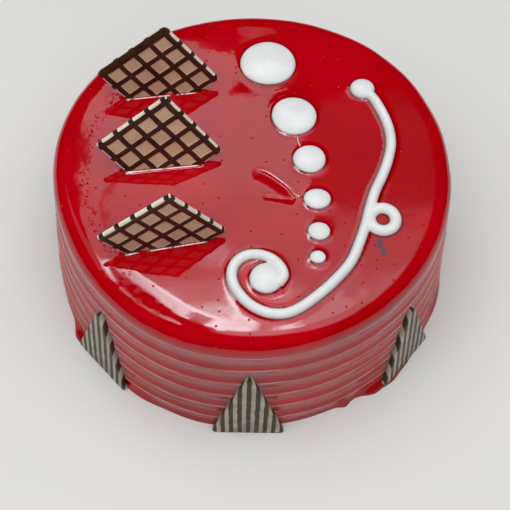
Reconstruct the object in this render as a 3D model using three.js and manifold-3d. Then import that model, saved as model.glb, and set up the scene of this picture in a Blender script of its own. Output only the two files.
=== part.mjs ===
// A round raspberry cake under a red mirror glaze, in millimetres with +Z up and the cake on z = 0.
// Its wall is combed into ledges, three lattice chocolate squares stand in its top beside piped
// cream dots and a piped scroll, and striped chocolate triangles lean against its wall.
// The cake's front is its -Y side, and an azimuth runs from there towards +X.
import * as THREE from "three";
import { mergeVertices } from "three/addons/utils/BufferGeometryUtils.js";
import Module from "manifold-3d";

// Cake body
const CAKE_HEIGHT = 90;
const SHOULDER_RADIUS = 105;
const SHOULDER_HEIGHT = 79.8;
const WALL_TAPER = 0.092;
const GLAZE_FOOT_RADIUS = 112.6;
const GLAZE_FOOT_HEIGHT = 1.6;
// The rim is a rounded square corner: the powers say how far it stays flat and then upright.
const RIM_WIDTH = 12.5;
const RIM_POWER_ACROSS = 4.2;
const RIM_POWER_UP = 1.8;
const RIM_STEPS = 8;
// A hollow under each ledge's edge is deepest beyond its middle, by the skew.
const LEDGE_PITCH = 14.1;
const LEDGE_DEPTH = 1.2;
const LEDGE_SKEW = 1.45;
const LEDGE_STEPS = 5;
const CAKE_SIDES = 84;
// The outline isn't quite round: each wave swells it in so many lobes, the first at its phase.
const OUTLINE_WAVES = [
  { lobes: 2, swell: 1.15, phase: -4 },
  { lobes: 3, swell: 1.04, phase: 90 },
  { lobes: 4, swell: 0.55, phase: -126 },
  { lobes: 5, swell: 0.16, phase: 142 },
];
const DENT = { x: 12.5, y: -10.5, halfLength: 13, halfWidth: 4.5, depth: 1.6, heading: -48 };

// Pieces that touch keep this much air between them.
const CLEARANCE = 0.3;

// Piped cream, from the largest dot to the smallest
const DOTS = [
  { x: 8.1, y: 66.5, width: 30.1, depth: 29.0, height: 3.6 },
  { x: 22.0, y: 32.0, width: 24.1, depth: 23.8, height: 3.3 },
  { x: 29.7, y: 5.0, width: 17.4, depth: 16.5, height: 2.9 },
  { x: 33.3, y: -19.1, width: 13.9, depth: 11.9, height: 2.6 },
  { x: 33.8, y: -38.0, width: 11.2, depth: 10.2, height: 2.3 },
  { x: 32.8, y: -52.8, width: 7.9, depth: 7.1, height: 1.9 },
];
const DOT_SIDES = 20;
const DOT_STEPS = 5;
const LINE_WIDTH = 5.6;
const LINE_HEIGHT = 3.2;
const LINE_STEPS = 84;
const SECTION_SIDES = 7;
const SCROLL_PATH = [
  [59.4, 50.1], [68.9, 36.1], [73.2, 15.6], [67.4, -5.3], [60.3, -24.0], [54.4, -43.6],
  [42.4, -64.3], [23.9, -80.6], [6.0, -83.4], [-9.3, -68.8], [-5.9, -53.9], [8.8, -53.7],
  [16.2, -62.5], [12.0, -69.4],
];
const SCROLL_START = { x: 59.4, y: 50.1, width: 13.4, depth: 12.6, height: 3.6 };
const SCROLL_END = { x: 6.9, y: -65.0, width: 16.8, depth: 16.8, height: 3.6 };
const RING = { x: 67.1, y: -30.6, radius: 6.6, lineWidth: 6.6 };

// Lattice chocolate squares: each one's centre, and how far it leans back, turns and tilts
const SQUARE_SIDE = 45.6;
const SQUARE_THICKNESS = 2.4;
const BAR_COUNT = 5;
const BAR_SPACING = 10.3;
const BAR_WIDTH = 2.9;
const BAR_RISE = 0.5;
const SQUARES = [
  { name: "lattice_square_back", centre: [-50.5, 48.6, 102.6], lean: 12.8, turn: 7.7, tilt: 10.2 },
  { name: "lattice_square_middle", centre: [-48.3, 3.8, 102.1], lean: 18.3, turn: 7.4, tilt: 10.2 },
  { name: "lattice_square_front", centre: [-45.0, -46.1, 101.3], lean: 4.6, turn: 11.0, tilt: 10.1 },
];

// Striped chocolate triangles: each one's azimuth, and how far it stands off the glaze's foot
const TRIANGLE_BASE = 40;
const TRIANGLE_HEIGHT = 68.6;
const TRIANGLE_THICKNESS = 2.2;
const TRIANGLE_BEVEL = 0.6;
const TRIANGLE_BLUNT = 1.8;
const TRIANGLE_LEAN = 5;
const TRIANGLE_FOOT_RADIUS = 112.3;
const TRIANGLES = [
  { azimuth: -0.5, gap: 1.2 },
  { azimuth: 50.3, gap: 0 },
  { azimuth: 103.5, gap: 0 },
  { azimuth: 153, gap: 0 },
  { azimuth: 202.5, gap: 0 },
  { azimuth: 251.5, gap: 0 },
  { azimuth: 313, gap: 0 },
];

const GLAZE_RED = 0xa4000c;
const CREAM_WHITE = 0xf2f0ee;
const LATTICE_BROWN = 0x8a6a55;
const STRIPE_BROWN = 0x6e6558;
const GLAZE_ROUGHNESS = 0.05;
const CREAM_ROUGHNESS = 0.2;
const CHOCOLATE_ROUGHNESS = 0.45;

const RIGHT_ANGLE = Math.PI / 2;
const radians = THREE.MathUtils.degToRad;
const wasm = await Module();
wasm.setup();

function toSolid(geometry) {
  const bare = geometry.clone();
  bare.deleteAttribute("normal");
  bare.deleteAttribute("uv");
  const merged = mergeVertices(bare);
  const corners = merged.index.array;
  const triVerts = [];
  for (let i = 0; i < corners.length; i += 3) {
    const triangle = corners.slice(i, i + 3);
    if (new Set(triangle).size === 3) triVerts.push(...triangle);
  }
  return new wasm.Manifold(new wasm.Mesh({
    numProp: 3,
    vertProperties: Float32Array.from(merged.attributes.position.array),
    triVerts: Uint32Array.from(triVerts),
  }));
}

function toGeometry(solid) {
  const { vertProperties, triVerts } = solid.getMesh();
  const geometry = new THREE.BufferGeometry();
  geometry.setAttribute("position", new THREE.BufferAttribute(vertProperties, 3));
  geometry.setIndex(new THREE.BufferAttribute(triVerts, 1));
  geometry.computeVertexNormals();
  return geometry;
}

function joined(solids) {
  return solids.reduce((whole, solid) => whole.add(solid));
}

function namedMesh(name, geometry, color, roughness) {
  const mesh = new THREE.Mesh(geometry, new THREE.MeshStandardMaterial({ color, roughness }));
  mesh.name = name;
  return mesh;
}

// A profile of [radius, height] points, from the lowest up, turned about +Z
function turned(profile, sides) {
  const points = profile.map(([radius, height]) => new THREE.Vector2(radius, height));
  return new THREE.LatheGeometry(points, sides).rotateX(RIGHT_ANGLE);
}

function box(width, thickness, height) {
  return new THREE.BoxGeometry(width, thickness, height);
}

// --- Cake body ---

function outlineScale(angle) {
  const swell = OUTLINE_WAVES.reduce(
    (sum, wave) => sum + wave.swell * Math.cos(wave.lobes * angle - radians(wave.phase)), 0);
  return 1 + swell / SHOULDER_RADIUS;
}

// The wall tapers upwards, and is hollowed between the ledges' edges.
function wallRadius(height) {
  const below = SHOULDER_HEIGHT - height;
  const turns = below / LEDGE_PITCH;
  const phase = turns - Math.floor(turns);
  const hollow = LEDGE_DEPTH * Math.sin(Math.PI * phase ** LEDGE_SKEW);
  return SHOULDER_RADIUS + WALL_TAPER * below - hollow;
}

function rimPoint(angle) {
  const across = Math.cos(angle);
  const up = (1 - across ** RIM_POWER_ACROSS) ** (1 / RIM_POWER_UP);
  const drop = CAKE_HEIGHT - SHOULDER_HEIGHT;
  return [SHOULDER_RADIUS - RIM_WIDTH * (1 - across), SHOULDER_HEIGHT + drop * up];
}

function cakeProfile() {
  const profile = [[0, 0], [GLAZE_FOOT_RADIUS, 0], [GLAZE_FOOT_RADIUS, GLAZE_FOOT_HEIGHT / 2]];
  const riser = LEDGE_PITCH / LEDGE_STEPS;
  for (let step = Math.floor(SHOULDER_HEIGHT / riser); step > 0; step -= 1) {
    const height = SHOULDER_HEIGHT - step * riser;
    if (height > GLAZE_FOOT_HEIGHT) profile.push([wallRadius(height), height]);
  }
  for (let step = 0; step <= RIM_STEPS; step += 1) {
    profile.push(rimPoint((RIGHT_ANGLE * step) / RIM_STEPS));
  }
  profile.push([0, CAKE_HEIGHT]);
  return profile;
}

function cakeSolid() {
  const geometry = turned(cakeProfile(), CAKE_SIDES);
  const position = geometry.attributes.position;
  for (let i = 0; i < position.count; i += 1) {
    const [x, y] = [position.getX(i), position.getY(i)];
    const scale = outlineScale(Math.atan2(y, x));
    position.setXY(i, x * scale, y * scale);
  }
  return toSolid(geometry);
}

function dentSolid() {
  const dent = new THREE.SphereGeometry(1, 20, 10)
    .scale(DENT.halfLength, DENT.halfWidth, DENT.depth)
    .rotateZ(radians(DENT.heading))
    .translate(DENT.x, DENT.y, CAKE_HEIGHT);
  return toSolid(dent);
}

// --- Piped cream ---

const creamBase = CAKE_HEIGHT + CLEARANCE;

function dotGeometry({ x, y, width, depth, height }) {
  const profile = [[0, 0]];
  for (let step = 0; step <= DOT_STEPS; step += 1) {
    const angle = (RIGHT_ANGLE * step) / DOT_STEPS;
    profile.push([Math.cos(angle), height * Math.sin(angle)]);
  }
  profile[profile.length - 1][0] = 0;
  return turned(profile, DOT_SIDES).scale(width / 2, depth / 2, 1).translate(x, y, creamBase);
}

// The half round section of a piped line, as [across, up] points
function lineSection(width) {
  const section = [];
  for (let side = 0; side <= SECTION_SIDES; side += 1) {
    const angle = (Math.PI * side) / SECTION_SIDES;
    section.push([(width / 2) * Math.cos(angle), LINE_HEIGHT * Math.sin(angle)]);
  }
  return section;
}

// Along a level path the section's x points down and its y points across.
function scrollLine() {
  const path = new THREE.CatmullRomCurve3(
    SCROLL_PATH.map(([x, y]) => new THREE.Vector3(x, y, creamBase)));
  const section = new THREE.Shape(
    lineSection(LINE_WIDTH).map(([across, up]) => new THREE.Vector2(-up, across)));
  return new THREE.ExtrudeGeometry(section, { steps: LINE_STEPS, extrudePath: path });
}

function scrollRing() {
  const section = lineSection(RING.lineWidth).map(([across, up]) => [RING.radius + across, up]);
  section.push(section[0]);
  return turned(section, DOT_SIDES).translate(RING.x, RING.y, creamBase);
}

function creamPieces() {
  const dots = DOTS.map((dot, i) =>
    namedMesh(`cream_dot_${i + 1}`, dotGeometry(dot), CREAM_WHITE, CREAM_ROUGHNESS));
  const strokes = [scrollLine(), scrollRing(), dotGeometry(SCROLL_START), dotGeometry(SCROLL_END)];
  const scroll = toGeometry(joined(strokes.map(toSolid)));
  return [...dots, namedMesh("cream_scroll", scroll, CREAM_WHITE, CREAM_ROUGHNESS)];
}

// --- Lattice chocolate squares ---

function latticeGeometry() {
  const reach = SQUARE_SIDE + 2 * BAR_RISE;
  const solids = [toSolid(box(SQUARE_SIDE, SQUARE_THICKNESS, SQUARE_SIDE))];
  for (let bar = 0; bar < BAR_COUNT; bar += 1) {
    const offset = (bar - (BAR_COUNT - 1) / 2) * BAR_SPACING;
    const upright = box(BAR_WIDTH, SQUARE_THICKNESS + BAR_RISE, reach);
    const level = box(reach, SQUARE_THICKNESS + BAR_RISE, BAR_WIDTH);
    solids.push(toSolid(upright.translate(offset, -BAR_RISE / 2, 0)));
    solids.push(toSolid(level.translate(0, -BAR_RISE / 2, offset)));
  }
  return toGeometry(joined(solids));
}

function squareSlot() {
  const reach = SQUARE_SIDE + 2 * (BAR_RISE + CLEARANCE);
  const slot = box(reach, SQUARE_THICKNESS + BAR_RISE + 2 * CLEARANCE, reach);
  return slot.translate(0, -BAR_RISE / 2, 0);
}

// Each square stands on a corner, so it is turned by an eighth before it tilts.
function latticeSquares() {
  const geometry = latticeGeometry();
  return SQUARES.map(({ name, centre, lean, turn, tilt }) => {
    const mesh = namedMesh(name, geometry.clone(), LATTICE_BROWN, CHOCOLATE_ROUGHNESS);
    mesh.position.set(...centre);
    mesh.rotation.set(-radians(lean), radians(45 + tilt), radians(turn), "ZXY");
    return mesh;
  });
}

// --- Striped chocolate triangles ---

// Each corner is cut off at the same distance along both of its edges.
function bluntShape(corners, cut) {
  const points = corners.flatMap((corner, i) => {
    const before = corners[(i + corners.length - 1) % corners.length];
    const after = corners[(i + 1) % corners.length];
    return [before, after].map((end) =>
      corner.clone().add(end.clone().sub(corner).setLength(cut)));
  });
  return new THREE.Shape(points);
}

// The triangle's back is on y = 0 and its foot on z = 0; margin grows it on every side.
function triangleGeometry(margin) {
  const half = TRIANGLE_BASE / 2;
  const inradius = (half * TRIANGLE_HEIGHT) / (half + Math.hypot(half, TRIANGLE_HEIGHT));
  const growth = 1 + margin / inradius;
  const corners = [[-half, 0], [half, 0], [0, TRIANGLE_HEIGHT]].map(([x, z]) =>
    new THREE.Vector2(x * growth, inradius + (z - inradius) * growth));
  return new THREE.ExtrudeGeometry(bluntShape(corners, TRIANGLE_BLUNT), {
    depth: TRIANGLE_THICKNESS - 2 * TRIANGLE_BEVEL + 2 * margin,
    bevelThickness: TRIANGLE_BEVEL,
    bevelSize: TRIANGLE_BEVEL,
    bevelOffset: -TRIANGLE_BEVEL,
    bevelSegments: 1,
  }).translate(0, 0, TRIANGLE_BEVEL - margin).rotateX(RIGHT_ANGLE);
}

// Every triangle hangs in a group of its own, turned to the triangle's azimuth.
function stripedTriangles() {
  const geometry = triangleGeometry(0);
  return TRIANGLES.map(({ azimuth, gap }, i) => {
    const name = `striped_triangle_${i + 1}`;
    const angle = radians(azimuth);
    const mesh = namedMesh(name, geometry.clone(), STRIPE_BROWN, CHOCOLATE_ROUGHNESS);
    mesh.position.y = -TRIANGLE_FOOT_RADIUS * outlineScale(angle - RIGHT_ANGLE) - gap;
    mesh.rotation.x = -radians(TRIANGLE_LEAN);
    const spoke = new THREE.Group();
    spoke.rotation.z = angle;
    spoke.add(mesh);
    return spoke;
  });
}

// --- Whole cake ---

const squares = latticeSquares();
const triangles = stripedTriangles();
const raspberryCake = new THREE.Group();
raspberryCake.add(...squares, ...triangles, ...creamPieces());
raspberryCake.updateMatrixWorld(true);

// The glaze stands just clear of every square and triangle that is pressed into it.
function pressedInto(solid, meshes, outline) {
  return meshes.reduce(
    (left, mesh) => left.subtract(toSolid(outline.clone().applyMatrix4(mesh.matrixWorld))), solid);
}

const dented = cakeSolid().subtract(dentSolid());
const slotted = pressedInto(dented, squares, squareSlot());
const triangleMeshes = triangles.map((spoke) => spoke.children[0]);
const cakeBody = pressedInto(slotted, triangleMeshes, triangleGeometry(CLEARANCE));
raspberryCake.add(namedMesh("cake_body", toGeometry(cakeBody), GLAZE_RED, GLAZE_ROUGHNESS));

// The origin is under the middle of the whole cake's box.
const middle = new THREE.Box3().setFromObject(raspberryCake, true).getCenter(new THREE.Vector3());
raspberryCake.position.set(-middle.x, -middle.y, 0);

export default raspberryCake;
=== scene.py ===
"""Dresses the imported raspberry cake: mirror glaze, piped cream, lattice squares and striped triangles.

Lengths are in millimetres on the cake, whose axis is the origin, and every mesh is turned into
metres in the row's frame by row_points(). The front is -Y, and angles called azimuth run from there
towards +X. A pair of numbers that is named as an edge is where a soft change starts and ends.
"""
import math

import bpy
import numpy as np
from mathutils import Matrix, Vector


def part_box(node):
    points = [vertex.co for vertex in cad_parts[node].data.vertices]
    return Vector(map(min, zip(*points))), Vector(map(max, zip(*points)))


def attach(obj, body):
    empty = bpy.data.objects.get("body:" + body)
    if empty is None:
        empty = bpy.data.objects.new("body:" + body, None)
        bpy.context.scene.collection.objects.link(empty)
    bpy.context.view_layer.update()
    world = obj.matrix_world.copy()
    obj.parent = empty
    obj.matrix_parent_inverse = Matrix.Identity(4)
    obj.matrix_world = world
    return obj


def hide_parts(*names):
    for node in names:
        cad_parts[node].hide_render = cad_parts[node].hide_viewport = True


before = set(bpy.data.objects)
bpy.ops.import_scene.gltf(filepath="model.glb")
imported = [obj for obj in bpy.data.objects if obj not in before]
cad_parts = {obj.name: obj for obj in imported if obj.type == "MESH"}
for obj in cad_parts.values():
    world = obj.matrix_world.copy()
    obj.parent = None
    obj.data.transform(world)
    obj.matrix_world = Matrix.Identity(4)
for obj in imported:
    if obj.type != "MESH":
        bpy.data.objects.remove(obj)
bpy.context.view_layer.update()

MM = 0.001

# Cake body
CAKE_HEIGHT = 90
SHOULDER_RADIUS = 105.0
SHOULDER_HEIGHT = 79.8
RIM_WIDTH = 12.5
RIM_POWERS = (4.2, 1.8)
WALL_TAPER = 0.092
LEDGE_COUNT = 6
LEDGE_PITCH = 14.1
LEDGE_DEPTH = 1.2
LEDGE_SKEW = 1.45

# The outline's unevenness: number of lobes, size and phase in degrees
OUTLINE_WAVES = [(2, 1.15, -4), (3, 1.04, 90), (4, 0.55, -126), (5, 0.16, 142)]

# Rings of the cake's mesh: places down each ledge as shares of its pitch, and on the top the radius
# where each span starts with its number of rings, closest together round the folds. The wall has no
# ring between its foot and the clear height.
CAKE_COLUMNS = 560
FOOT_CLEAR_HEIGHT = 0.8
LEDGE_ROWS = (0.02, 0.06, 0.12, 0.22, 0.34, 0.46, 0.58, 0.70, 0.80, 0.88, 0.94, 0.98, 1.0)
RIM_ROWS = 20
TOP_SPANS = [(92.5, 12), (80, 37), (32, 32), (8, 4)]

# Slow swells of the glaze on the top and on the wall: seed, height and size. The wall's set in between
# two radii and two heights, and the wall is drawn in by a share of its radius to make room.
TOP_SWELLS = [(3, 0.08, 34), (4, 0.012, 11)]
WALL_LUMPS = [(8, 0.22, 17), (9, 0.08, 6)]
WALL_LUMP_RADII = (88, SHOULDER_RADIUS)
WALL_LUMP_HEIGHTS = (0, 6)
WALL_INSET = 0.0022

# Ripples near the front rim: seed, height and size, the radii and the azimuths where they fade
FRONT_RIPPLES = (5, 0.02, 9)
FRONT_RIPPLE_RADII = (80, 90)
FRONT_RIPPLE_MIDDLE = 8
FRONT_RIPPLE_SPREAD = (35, 60)

# A low ridge in the glaze, front left: azimuth, then the radii of its crest, its step and its foot
RIDGE = [
    (-53, 91.4, 92.2, 92.6), (-48, 86.8, 91.8, 93.6), (-43, 84.6, 90.6, 95.2), (-37, 84.1, 89.6, 95.8),
    (-31, 84.8, 90.2, 95.8), (-26, 85.4, 92.0, 95.4), (-21, 86.8, 93.8, 95.4), (-14, 88.2, 94.4, 95.6),
    (-8, 88.5, 94.8, 95.6),
]
RIDGE_SLOPE = 0.040
STEP_SLOPE = 0.13
RIDGE_RAGGED = (6, 0.28, 3.5)
RIDGE_START = (-55, -49)
RIDGE_END = (-18, -7)

# Glaze run out at the foot: azimuth, half its spread in degrees, and how far it reaches. A thin
# ragged skirt runs all round between the pools.
FOOT_POOLS = [
    (28, 1.8, 1.9), (37, 3, 3.0), (43, 4.5, 4.2), (50.5, 5, 2.9), (72, 8, 1.4),
    (-15, 9, 1.0), (-34, 7, 1.2), (-47, 5, 1.2), (-58.5, 4, 4.2),
]
SKIRT_REACH = 0.7
SKIRT_RAGGED = (7, 0.5, 9)
SKIRT_HEIGHT = 2.2

# How the glaze climbs the foot of what stands in it: its rise and its reach
DOT_CLIMB = (0.36, 1.3)
LINE_CLIMB = (0.28, 1.0)
SQUARE_CLIMB = (0.55, 1.1)

# Folds dented into the top: the path of each, its depth, the reach of the slope behind it and of the
# hollow in front of it
FOLDS = [
    ([(4.0, -3.2), (8.3, -5.4), (13.9, -9.7), (17.6, -13.2), (20.3, -17.4)], 0.50, 2.8, 3.2),
    ([(7.5, -18.0), (11.0, -18.3), (16.3, -19.2), (19.5, -19.5)], 0.30, 1.6, 1.6),
]
FOLD_SLOPE = 0.11
FOLD_EDGE = 0.8
FOLD_SOFTNESS = 0.5

# Piped cream: x, y, width, depth, height, and how far a small peak stands up
DOTS = [
    (8.1, 66.5, 30.1, 29.0, 3.6, 0.5),
    (22.0, 32.0, 24.1, 23.8, 3.3, 0.4),
    (29.7, 5.0, 17.4, 16.5, 2.9, 0.1),
    (33.3, -19.1, 13.9, 11.9, 2.6, 0.1),
    (33.8, -38.0, 11.2, 10.2, 2.3, 0.1),
    (32.8, -52.8, 7.9, 7.1, 1.9, 0.1),
]
DOT_WAVES = (0.012, 0.008)
DOME_POWERS = (0.85, 0.9)
PEAK_REACH = 2.2
CREAM_SINK = 0.7
LINE_WIDTH = 5.6
LINE_HEIGHT = 3.2
SCROLL_PATH = [
    (59.4, 50.1), (64.8, 44.3), (68.9, 36.1), (72.2, 26.2), (73.2, 15.6), (71.1, 5.0), (67.4, -5.3),
    (63.6, -13.8), (60.3, -24.0), (57.7, -33.8), (54.4, -43.6), (49.7, -54.8), (42.4, -64.3),
    (33.7, -72.9), (23.9, -80.6), (15.6, -84.2), (6.0, -83.4), (-3.0, -77.9), (-9.3, -68.8),
    (-10.1, -60.2), (-5.9, -53.9), (1.1, -51.7), (8.8, -53.7), (13.8, -58.4), (15.4, -63.6),
    (12.5, -68.2),
]
SCROLL_START = (59.4, 50.1, 13.4, 12.6, 3.6, 0.1)
SCROLL_END = (6.9, -65.0, 16.8, 16.8, 3.8, 0.3)
SCROLL_GRAIN = 0.42
RING = (66.6, -31.0, 6.6)
RING_LINE_WIDTH = LINE_WIDTH * 1.12
THREAD_PATH = [(23.7, 18.6), (23.9, 16.4), (24.9, 13.0)]
THREAD_WIDTH = 0.5
THREAD_HEIGHT = 0.3
THREAD_SINK = 0.2

# Painted shade round the foot of the cream, as a dark line on the glaze: how dark, how wide, and how far down
# it may lie
CREAM_SHADE = 0.9
CREAM_SHADE_REACH = 0.75
CREAM_SHADE_DEPTH = 2

# Lattice squares: name, centre, lean back, turn and tilt
SQUARES = [
    ("back", (-50.5, 48.6, 102.6), 12.8, 7.7, 10.2),
    ("middle", (-48.3, 3.8, 102.1), 18.3, 7.4, 10.2),
    ("front", (-45.0, -46.1, 101.3), 4.6, 11.0, 10.1),
]
SQUARE_SIDE = 45.6
SQUARE_THICKNESS = 2.4
SQUARE_GRID = 115
BAR_COUNT = 5
BAR_SPACING = 10.3
BAR_WIDTH = 2.9
BAR_RISE = 0.5
BAR_BLUR = 0.35
BAR_WANDER = 0.25
BAR_WANDER_SIZE = 5
BAR_BACK_SHARE = 0.2
DARK_SIDE_WIDTH = 1.0
EDGE_ROUND = 0.35
PALE_EDGE = (0.2, 0.7)
BAR_COLOR_EDGE = (0.4, 0.6)
PALE_COLOR_EDGE = (0.35, 0.65)

# Rings round a square's sides: their depths as shares of half its thickness, and how far they swell
# out between the bars, and at the bars as a share of the bars' rise
SIDE_DEPTHS = (-0.75, -0.3, 0.15, 0.6)
SIDE_SWELL = 0.2
SIDE_BAR_SHARE = 0.8
CORNER_EDGE = (0, 5)

# Striped triangles: each one's azimuth, and how far it stands off the glaze's foot. Their sides reach
# back behind the foot's radius, and their front bulges a little.
TRIANGLES = [(-0.5, 1.2), (50.3, 0), (103.5, 0), (153, 0), (202.5, 0), (251.5, 0), (313, 0)]
TRIANGLE_BASE = 40
TRIANGLE_HEIGHT = 68.6
TRIANGLE_THICKNESS = 2.2
TRIANGLE_FRONT = TRIANGLE_THICKNESS - 0.1
TRIANGLE_BACK = 0.9
TRIANGLE_CORNER = 1.9
TRIANGLE_EDGE = 0.6
TRIANGLE_BACK_RINGS = [(1.2, 0), (0.3, 0.02), (0, 0.3)]
TRIANGLE_BULGE_RINGS = [(4, 0.03), (8, 0.06)]
TRIANGLE_BULGE = 0.08
TRIANGLE_LEAN = 5
TRIANGLE_FOOT_RADIUS = 112.3

# Stripes: their pitch, how far they fan out, how they wander, the edge of the light ones, and how deep
# behind the front they turn round the sides, where their pitch is stretched
STRIPE_PITCH = 4.54
STRIPE_FAN = -0.0011
STRIPE_WOBBLE = 0.9
STRIPE_EDGE = (1.05, 1.35)
STRIPE_TURN_DEPTH = 0.5
STRIPE_SIDE_SHARE = 0.42

# Colours: red, green, blue and alpha. A pair is the darkest and the palest tone of one material.
GLAZE_TOP = ((0.37, 0.0, 0.003, 1), (0.45, 0.0, 0.005, 1))
GLAZE_WALL = ((0.33, 0.002, 0.004, 1), (0.42, 0.004, 0.006, 1))
# Painted shade round the foot of the piped cream
GLAZE_PAINTED_SHADE = (0.05, 0.0, 0.002, 1)
# Painted highlight: the glint along the foot of each lattice square
PAINTED_GLINT_WHITE = (0.86, 0.82, 0.83, 1)
SMUDGE_GREY = (0.05, 0.035, 0.05, 1)
# Painted highlight and painted shade along the edge of each ledge
LEDGE_PAINTED_HIGHLIGHT = (0.80, 0.46, 0.36, 1)
LEDGE_PAINTED_SHADE = (0.09, 0.0, 0.003, 1)
CREAM_WHITE = ((0.70, 0.71, 0.71, 1), (0.77, 0.78, 0.78, 1))
LATTICE_CELL = ((0.53, 0.355, 0.225, 1), (0.63, 0.44, 0.285, 1))
LATTICE_EDGE = ((0.74, 0.72, 0.56, 1), (0.82, 0.80, 0.68, 1))
LATTICE_BAR = ((0.030, 0.010, 0.005, 1), (0.055, 0.020, 0.010, 1))
STRIPE_DARK = ((0.026, 0.017, 0.010, 1), (0.058, 0.041, 0.026, 1))
STRIPE_LIGHT = ((0.34, 0.285, 0.225, 1), (0.50, 0.42, 0.335, 1))
FLOOR_WHITE = ((0.72, 0.715, 0.70, 1), (0.74, 0.735, 0.72, 1))
CEILING_WHITE = (0.74, 1.0, 1.04, 1)

# Whole pitches that keep a repeated pattern's coordinate above zero
PITCHES_AHEAD = 40
PITCHES_BELOW = 10

# Relief: its distance in metres, and its strength where it isn't full
STREAK_RELIEF = (0.00035, 0.35)
GRAIN_RELIEF = (0.00004, 0.4)
PIT_RELIEF = 0.00016
BUBBLE_RELIEF = 0.00022

# Noise: scale per metre, detail and stretch, and the edge that turns it into patches
STREAKS = (26, 4, (1, 1, 16))
PATCHES = (18, 2)
PATCH_EDGE = (0.35, 0.65)
TONE_EDGE = (0.3, 0.7)
BUBBLES = (520, 2)
BUBBLE_PATCH_EDGE = (0.59, 0.69)
GLINT_BREAKS = (260, 2)
GLINT_BREAK_EDGE = (0.36, 0.5)
# The noise that breaks up the painted ledge lines
LEDGE_LINE_BREAKS = (45, 3, (1, 1, 0.3))
LEDGE_LINE_BREAK_EDGE = (0.38, 0.62)
SMUDGE_GRAIN = (420, 4)
STRIPE_WANDER = (220, 2)
CREAM_GRAIN = (700, 3)
LATTICE_GRAIN = (1500, 3)
STRIPE_GRAIN = (1200, 3)

# Where the colour of the wall, and its duller shine, give way to the top's, by height
TOP_COLOR_EDGE = (78, 88.5)
TOP_SHINE_EDGE = (74, 83)
WALL_ROUGHNESS = 0.15
TOP_ROUGHNESS = 0.035

# Small pits in the top: their spacing, their edge as shares of it, and the share that is left out
PIT_SPACING = 8
PIT_EDGE = (0.02, 0.085)
PITS_LEFT_OUT = 0.72

# A band of small bubbles along the left of the top: its radius, its edge and where it starts in x
BUBBLE_RADIUS = 87.5
BUBBLE_EDGE = (3.6, 1)
BUBBLE_START = (-56, -74)

# A grey smudge on the glaze: x, y and size of its ragged lobes, each a little longer in y
SMUDGE = [(64.2, -44.8, 2.3), (65.8, -49.4, 2.0)]
SMUDGE_Y_SHARE = 0.7
SMUDGE_RAGGED = 2.6
SMUDGE_EDGE = (2.7, 1.1)

# Painted highlight in front of each square's foot: its middle line, its edge, how narrow it gets, and its
# ends
GLINT_SHIFT = 0.8
GLINT_EDGE = (1.0, 0.35)
GLINT_NARROWING = (1, 5)
GLINT_NARROWEST = 0.42
GLINT_START = (-0.5, 1.5)
GLINT_END = (-1, -4)

# Painted highlight and shade along each ledge's edge: height above it, half the line's width, strength,
# colour
LEDGE_LINES = [(0.25, 0.55, 0.62, LEDGE_PAINTED_HIGHLIGHT), (-0.75, 0.6, 0.75, LEDGE_PAINTED_SHADE)]
LEDGE_LINE_CORE = 0.1
LEDGE_LINE_FAINTEST = 0.35

# Camera: its place, its direction and roll in degrees, and its lens and sensor
CAMERA_POINT = (-6.93, -314.93, 601.02)
CAMERA_ELEVATION = 62.757
CAMERA_AZIMUTH = -1.7736
CAMERA_ROLL = 2.1411
CAMERA_LENS = 80.72
CAMERA_SENSOR = 36

# Light, in metres
KEY_SIZE = (2.4, 2.2)
KEY_POINT = (-0.1, -0.2, 1.7)
KEY_DIRECTION = (0.1, 0.2, -1.6)
KEY_POWER = 36
ROOM_STRENGTH = 0.25
FLOOR_REACH = 4

# The ceiling card that the glaze mirrors, in metres from the cake's axis
CARD_X = (-0.7, 0.8)
CARD_Y = (-0.4, 1.5)
CARD_Z = 1.6
CARD_FRONT_EDGE = (0.24, 0.44)
CARD_FRONT_SLANT = 0.7

# It is a little uneven: the noise that moves its shapes in x and in y, and how far
CARD_NOISE = [(13, 5, (1, 1, 1), 0.6), (11, 5, (1, 1.3, 1), 0.6)]
CARD_WANDER = (0.045, 0.035)

# Its pale bay: the edges of the main part, and of two shorter parts to the right of it in x and in y,
# and how the light grows from its base towards the back and the front of the card
BAY_LEFT = (-0.338, -0.332)
BAY_RIGHT = (-0.022, -0.028)
BAY_BACK = (1.246, 1.240)
BAY_CORNER = (1.428, 1.422)
BAY_STEPS = [((0.094, 0.088), (1.118, 1.110)), ((0.150, 0.120), (0.995, 0.985))]
BAY_BASE = 1.5
BAY_GROWTH = [((0.80, 0.95), 0.65), ((0.70, 0.62), 1.6)]
SEAM_X = [(-0.281, -0.277), (-0.269, -0.273)]
SEAM_Y = [(0.77, 0.80), (0.98, 0.95)]
SEAM_DARKNESS = 0.8

# The softer light beside the bay: its growth towards the front, and its left and right edges
SIDE_GROWTH = [((1.14, 1.05), 0.21), ((0.87, 0.77), 0.95), ((0.72, 0.62), 0.9)]
SIDE_X = [(-0.01, 0.01), (0.52, 0.34)]

# The bright strip: for its back and its front the edge, how far left a slant starts, and the slant
STRIP_BACK = (0.628, 0.572)
STRIP_BACK_SLANT = (0.145, 0.5)
STRIP_FRONT = (0.53, 0.57)
STRIP_FRONT_SLANT = (0.04, 0.65)
STRIP_LEFT = (-0.40, -0.12)
STRIP_LEFT_SHARE = 0.05
STRIP_RIGHT = (0.035, -0.02)
STRIP_STRENGTH = 12.5

# Soft spots of light: x, y, their reach in x and in y, and their strength; and one dark spot
BRIGHT_SPOTS = [
    (-0.075, 0.735, 0.05, 0.045, 2.2), (0.105, 0.545, 0.05, 0.035, 9),
    (0.02, 1.285, 0.045, 0.045, 0.8), (0.17, 0.60, 0.09, 0.05, 1.6),
]
DARK_SPOT = (0.05, 0.577, 0.045, 0.02, 0.85)

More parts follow.
